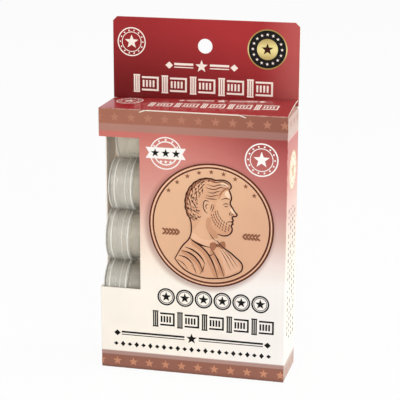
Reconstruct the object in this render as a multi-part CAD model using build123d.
"""Boxed set of screw-cap coin tubes: a windowed hang-tab carton and the tubes stacked in it.

Millimetres, +Z up. The origin is under the middle of the carton, on the surface it stands on.
The printed front faces -Y, the window is at the front left corner, and the tubes lie along X.
"""

from build123d import *
import os
from math import cos, radians, sin

# Coins that set the tube
coin_diameter = 19.05
coin_thickness = 1.52
coins_per_tube = 50
bore_clearance = 0.45
stack_headroom = 0.6

# Tube and screw cap, moulded clear plastic
neck_wall = 1.1
body_wall = 1.6
base_wall = 1.3
base_round = 1.5
foot_ring = 2.0
foot_recess = 0.4
cap_wall = 0.95
cap_end_wall = 1.2
cap_round = 1.2
cap_length = 12.0
rim_gap = 0.2
skirt_gap = 0.3
thread_pitch = 5.0
thread_height = 0.5
thread_root_width = 1.2
thread_crest_width = 0.6
thread_clearance = 0.2
flank_clearance = 0.25
thread_lead_in = 1.2
thread_sink = 0.12

# How the tubes lie in the carton, from the top tube down: cap to the right is 1, to the left -1
cap_sides = [1, -1, -1, -1, -1]
slide_shares = [0.72, 0.37, 0.17, 0.04, 0.11]
roll_angles = [250.0, 158.0, 60.0, 45.0, 100.0]
end_play = 9.4
stack_gap = 0.15
depth_clearance = 0.2

# Paperboard and its creases
board = 0.5
crease_gap = 0.05
ply_gap = 0.05
lid_side_gap = 0.3
fold_to = 90.0
mitre_from = 135.0
roll_from = 180.0

# Header with the hang hole
header_height = 39.0
header_corner = 2.0
header_lap = 6.0
hang_hole_diameter = 7.0
hang_hole_drop = 12.6

# Window round the front left corner, and the slit along the lid's fold
window_width = 19.75
window_side_depth = 11.0
window_sill = 40.7
window_head_drop = 13.6
slit_half_run = 22.3
slit_spread = 2.7
slit_drop = 1.3
slit_width = 0.2

# Tuck flaps, dust flaps and the glue flap
tuck_length = 7.4
tuck_clearance = 0.6
tuck_side_gap = 1.2
tuck_corner = 3.0
dust_length = 20.0
dust_front_gap = 1.0
dust_rear_gap = 2.5
dust_taper = 0.62
corner_notch = 1.5
glue_width = 11.0
glue_end_gap = 14.0
glue_taper = 4.0

# Tube radii and lengths worked out from the coin
bore_radius = (coin_diameter + bore_clearance) / 2
neck_radius = bore_radius + neck_wall
thread_radius = neck_radius + thread_height
body_radius = bore_radius + body_wall
cap_bore_radius = thread_radius + thread_clearance
cap_thread_radius = neck_radius + thread_clearance
cap_radius = cap_bore_radius + cap_wall
mouth_at = cap_end_wall + rim_gap
floor_at = mouth_at + coins_per_tube * coin_thickness + stack_headroom
tube_length = floor_at + base_wall
shoulder_at = cap_length + skirt_gap
thread_offset = thread_root_width + flank_clearance
thread_start = mouth_at + thread_lead_in + thread_root_width / 2
cap_thread_start = thread_start + thread_offset
thread_run = cap_length - thread_lead_in - thread_root_width / 2 - cap_thread_start

# Carton sizes worked out from what it holds
tube_count = len(slide_shares)
closure = 2 * board + ply_gap
stack_pitch = 2 * cap_radius + stack_gap
nested_pitch = cap_radius + body_radius + stack_gap
stack_floor = closure + stack_gap
height = 2 * stack_floor + 2 * cap_radius + (tube_count - 1) * stack_pitch
inner_width = tube_length + end_play
inner_depth = 2 * (cap_radius + depth_clearance)
width = inner_width + 2 * board
depth = inner_depth + 2 * board
front = -depth / 2
back = depth / 2
fold_radius = 0.8 * board
side_low = board + ply_gap
side_high = height - side_low
header_top = height + header_height
lid_rear = back - 2 * board - tuck_clearance
bottom_rear = back - board - tuck_clearance
dust_low = front + dust_front_gap
dust_rear = lid_rear - board - dust_rear_gap

os.makedirs("parts", exist_ok=True)


def save(node, solid):
    """Write one piece to its own STEP file."""
    export_step(solid, f"parts/{node}.step")


def strip_end(at, inward, kind):
    """Corner points of one end of a board strip, and the lines that join them, inside to outside."""
    if kind == "raw":
        return [Line((at, -board), (at, 0))], (at, -board), (at, 0)
    start = mitre_from if kind == "mitre" else roll_from
    inner = (at + inward * (board if kind == "mitre" else 0), -board)

    def on_fold(angle):
        turn = radians(angle)
        return (at + inward * fold_radius * (1 + cos(turn)), fold_radius * (sin(turn) - 1))

    bend = ThreePointArc(on_fold(start), on_fold((start + fold_to) / 2), on_fold(fold_to))
    return [Line(inner, on_fold(start)), bend], inner, on_fold(fold_to)


def strip(low, high, low_end, high_end):
    """Section of a board strip: outer face on y = 0, inner face a board below, ends as named."""
    low_lines, low_inner, low_outer = strip_end(low, 1, low_end)
    high_lines, high_inner, high_outer = strip_end(high, -1, high_end)
    faces = [Line(low_outer, high_outer), Line(low_inner, high_inner)]
    return make_face([*low_lines, *high_lines, *faces])


def panel(across, along, left="raw", right="raw", near="raw", far="raw"):
    """Flat board, outer face on z = 0, running from y = 0 to along; a mitre is half of a fold."""
    ribs = extrude(Plane.XZ * strip(-across / 2, across / 2, left, right), along, dir=(0, 1, 0))
    runs = extrude(Plane.YZ * strip(0, along, near, far), across / 2, both=True)
    return ribs & runs


def block(low, high):
    """Solid box between two corners."""
    size = [b - a for a, b in zip(low, high)]
    return Pos(*low) * Box(*size, align=(Align.MIN, Align.MIN, Align.MIN))


def prism_x(points, low, high):
    """Outline drawn in (y, z), extruded along X."""
    return Pos(low, 0, 0) * extrude(Plane.YZ * make_face(Polyline(*points, close=True)), high - low)


def prism_y(points, low, high):
    """Outline drawn in (x, z), extruded along Y."""
    outline = Plane.XZ * make_face(Polyline(*points, close=True))
    return Pos(0, low, 0) * extrude(outline, high - low, dir=(0, 1, 0))


def prism_z(points, low, high):
    """Outline drawn in (x, y), extruded along Z."""
    return Pos(0, 0, low) * extrude(make_face(Polyline(*points, close=True)), high - low)


# The window takes the front left corner out of two panels
window = block(
    (-width / 2 - board, front - board, window_sill),
    (-width / 2 + window_width, front + window_side_depth, height - window_head_drop),
)

# Front panel: folded at both sides and at the lid, rolled at the bottom
front_plane = Plane((0, front, 0), x_dir=(1, 0, 0), z_dir=(0, -1, 0))
front_panel = front_plane * panel(width, height, "mitre", "mitre", "roll", "mitre")
front_panel -= window
through = (front - board, front + 2 * board)
slit_floor = height - board - ply_gap
front_panel -= block(
    (-slit_half_run, through[0], slit_floor),
    (slit_half_run, through[1], height + board),
)
for side in (-1, 1):
    slit_top = side * slit_half_run
    slit_foot = side * (slit_half_run + slit_spread)
    front_panel -= prism_y(
        [
            (slit_top - side * slit_width, slit_floor),
            (slit_top - side * slit_width, height + slit_width),
            (slit_top + side * slit_width, height + slit_width),
            (slit_foot + side * slit_width, height - slit_drop),
            (slit_foot, height - slit_drop - slit_width),
        ],
        *through,
    )
save("front_panel", front_panel)

# Side panels: folded at all four edges, with the rear top corner notched beside the header
side_height = side_high - side_low
notch_points = [
    (back + board, side_high - corner_notch - board),
    (back + board, side_high + board),
    (back - corner_notch - board, side_high + board),
]
right_plane = Plane((width / 2, 0, side_low), x_dir=(0, 1, 0), z_dir=(1, 0, 0))
side_panel = right_plane * panel(depth, side_height, "mitre", "mitre", "mitre", "mitre")
side_panel -= prism_x(notch_points, width / 2 - 2 * board, width / 2 + board)
save("right_side_panel", side_panel)
left_side_panel = mirror(side_panel, Plane.YZ) - window
save("left_side_panel", left_side_panel)

# Back panel: folded at both sides up to the lid, then on upwards as the header's rear ply
hang_hole_at = header_top - hang_hole_drop
hang_hole = Pos(0, back, hang_hole_at) * Rot(90, 0, 0) * Cylinder(hang_hole_diameter / 2, 8 * board)


def header_ply(plane, low):
    """One ply of the header from a height up to its rolled top edge, corners cut and hole punched."""
    ply = plane * Pos(0, low, 0) * panel(width, header_top - low, far="roll")
    for side in (-1, 1):
        corner = [
            (side * (width / 2 - header_corner - board), header_top + board),
            (side * (width / 2 + board), header_top + board),
            (side * (width / 2 + board), header_top - header_corner - board),
        ]
        ply -= prism_y(corner, back - 3 * board, back + board)
    return ply - hang_hole


back_plane = Plane((0, back, 0), x_dir=(-1, 0, 0), z_dir=(0, 1, 0))
back_panel = back_plane * panel(width, height, "mitre", "mitre")
back_panel += header_ply(back_plane, height)
save("back_panel", back_panel)

# Front ply of the header: folded over at the top, glued to the rear ply and lapped below the lid
ply_plane = Plane((0, back - 2 * board, 0), x_dir=(1, 0, 0), z_dir=(0, -1, 0))
header_front_ply = header_ply(ply_plane, height)
lap_half_width = inner_width / 2 - corner_notch
header_front_ply += block(
    (-lap_half_width, back - 2 * board, height - header_lap),
    (lap_half_width, back - board, height),
)
save("header_front_ply", header_front_ply)

# Glue flap: the back panel's folded edge, stuck to the inside of the right side panel
flap_x = width / 2 - 2 * board
flap_back = back - board
flap_front = flap_back - glue_width
glue_points = [
    (flap_back, glue_end_gap),
    (flap_back, height - glue_end_gap),
    (flap_front, height - glue_end_gap - glue_taper),
    (flap_front, glue_end_gap + glue_taper),
]
save("glue_flap", prism_x(glue_points, flap_x, flap_x + board))

# Lid and bottom: each folds on the front panel and ends in a tuck flap behind
closure_width = width - 2 * lid_side_gap
lid_plane = Plane((0, front + crease_gap, height), x_dir=(1, 0, 0), z_dir=(0, 0, 1))
lid_panel = lid_plane * panel(closure_width, lid_rear - front - crease_gap, near="mitre", far="mitre")
lid_panel += block(
    (-slit_half_run + slit_width, front, height - board),
    (slit_half_run - slit_width, front + 2 * board, height),
)
save("lid_panel", lid_panel)

bottom_front = front + board + crease_gap
bottom_plane = Plane((0, bottom_front, 0), x_dir=(-1, 0, 0), z_dir=(0, 0, -1))
bottom_panel = bottom_plane * panel(closure_width, bottom_rear - bottom_front, far="mitre")
save("bottom_panel", bottom_panel)


def tuck_flap():
    """Tuck flap, outer face on z = 0, folded at y = 0, with rounded free corners."""
    flap = panel(closure_width - 2 * tuck_side_gap, tuck_length, near="mitre")
    tips = flap.edges().filter_by(Axis.Z).group_by(Axis.Y)[-1]
    return fillet(tips, tuck_corner)


lid_tuck_plane = Plane((0, lid_rear, height - crease_gap), x_dir=(1, 0, 0), z_dir=(0, 1, 0))
save("lid_tuck_flap", lid_tuck_plane * tuck_flap())
bottom_tuck_plane = Plane((0, bottom_rear, crease_gap), x_dir=(-1, 0, 0), z_dir=(0, 1, 0))
save("bottom_tuck_flap", bottom_tuck_plane * tuck_flap())

# Dust flaps: folded in from the side panels, cut back at both edges so that lid and tuck clear them
dust_middle = (dust_low + dust_rear) / 2
dust_plane = Plane(
    (width / 2 - crease_gap, dust_middle, side_high), x_dir=(0, 1, 0), z_dir=(0, 0, 1)
)
dust_flap = dust_plane * panel(dust_rear - dust_low, dust_length, near="mitre")
taper_points = [
    (width / 2 + board, dust_low - dust_taper * board),
    (width / 2 - 2 * dust_length, dust_low - dust_taper * board),
    (width / 2 - 2 * dust_length, dust_low + dust_taper * 2 * dust_length),
]
dust_flap -= prism_z(taper_points, side_high - 2 * board, side_high + board)
mid_height = Plane.XY.offset(height / 2)
save("top_right_dust_flap", dust_flap)
save("top_left_dust_flap", mirror(dust_flap, Plane.YZ))
save("bottom_right_dust_flap", mirror(dust_flap, mid_height))
save("bottom_left_dust_flap", mirror(mirror(dust_flap, mid_height), Plane.YZ))


def thread(wall_radius, crest_radius, start):
    """One helical ridge standing on a wall, sunk a little into it, rising from start along +Z."""
    outward = 1 if crest_radius > wall_radius else -1
    root = wall_radius - outward * thread_sink
    rise = crest_radius - root
    helix = Helix(thread_pitch, thread_run, root, center=(0, 0, start))
    across = Plane(helix @ 0, x_dir=(1, 0, 0), z_dir=helix % 0)
    ridge = Polyline(
        (0, -thread_root_width / 2),
        (rise, -thread_crest_width / 2),
        (rise, thread_crest_width / 2),
        (0, thread_root_width / 2),
        close=True,
    )
    return sweep(across * make_face(ridge), path=helix, is_frenet=True)


def turned(points):
    """Outline of (radius, height) points, turned about Z."""
    return revolve(Plane.XZ * make_face(Polyline(*points, close=True)), Axis.Z)


# Tube: cap end at z = 0, closed end at z = tube_length, with a threaded neck and a foot ring
foot_radius = body_radius - foot_ring
tube = turned(
    [
        (bore_radius, mouth_at),
        (neck_radius, mouth_at),
        (neck_radius, shoulder_at),
        (body_radius, shoulder_at + body_radius - neck_radius),
        (body_radius, tube_length),
        (foot_radius, tube_length),
        (foot_radius, tube_length - foot_recess),
        (0, tube_length - foot_recess),
        (0, floor_at),
        (bore_radius, floor_at),
    ]
)
foot_edge = tube.edges().filter_by(GeomType.CIRCLE).group_by(Axis.Z)[-1].sort_by(SortBy.RADIUS)[-1]
tube = fillet(foot_edge, base_round)
tube += thread(neck_radius, thread_radius, thread_start)

# Screw cap: end wall at z = 0, skirt over the neck, with the mating ridge inside
cap_ring = cap_radius - foot_ring
cap = turned(
    [
        (0, foot_recess),
        (cap_ring, foot_recess),
        (cap_ring, 0),
        (cap_radius, 0),
        (cap_radius, cap_length),
        (cap_bore_radius, cap_length),
        (cap_bore_radius, cap_end_wall),
        (0, cap_end_wall),
    ]
)
cap_edge = cap.edges().filter_by(GeomType.CIRCLE).group_by(Axis.Z)[0].sort_by(SortBy.RADIUS)[-1]
cap = fillet(cap_edge, cap_round)
cap += thread(cap_bore_radius, cap_thread_radius, cap_thread_start)

# The stack, from the bottom up: each tube slid along its end play and rolled as it fell. One that
# lies the other way round than the tube below rests its body on that tube's cap.
axis_height = stack_floor + cap_radius
for order in reversed(range(tube_count)):
    cap_side = cap_sides[order]
    if order < tube_count - 1:
        axis_height += stack_pitch if cap_side == cap_sides[order + 1] else nested_pitch
    left_end_at = -inner_width / 2 + slide_shares[order] * end_play
    cap_end_at = left_end_at if cap_side < 0 else left_end_at + tube_length
    roll = radians(roll_angles[order])
    lie = Plane((cap_end_at, 0, axis_height), x_dir=(0, cos(roll), sin(roll)), z_dir=(-cap_side, 0, 0))
    save(f"tube_{order + 1}", lie * tube)
    save(f"cap_{order + 1}", lie * cap)

print("carton", round(width, 3), round(depth, 3), round(height, 3), "top", round(header_top, 3))
print("tube", round(tube_length, 3), "cap diameter", round(2 * cap_radius, 3))
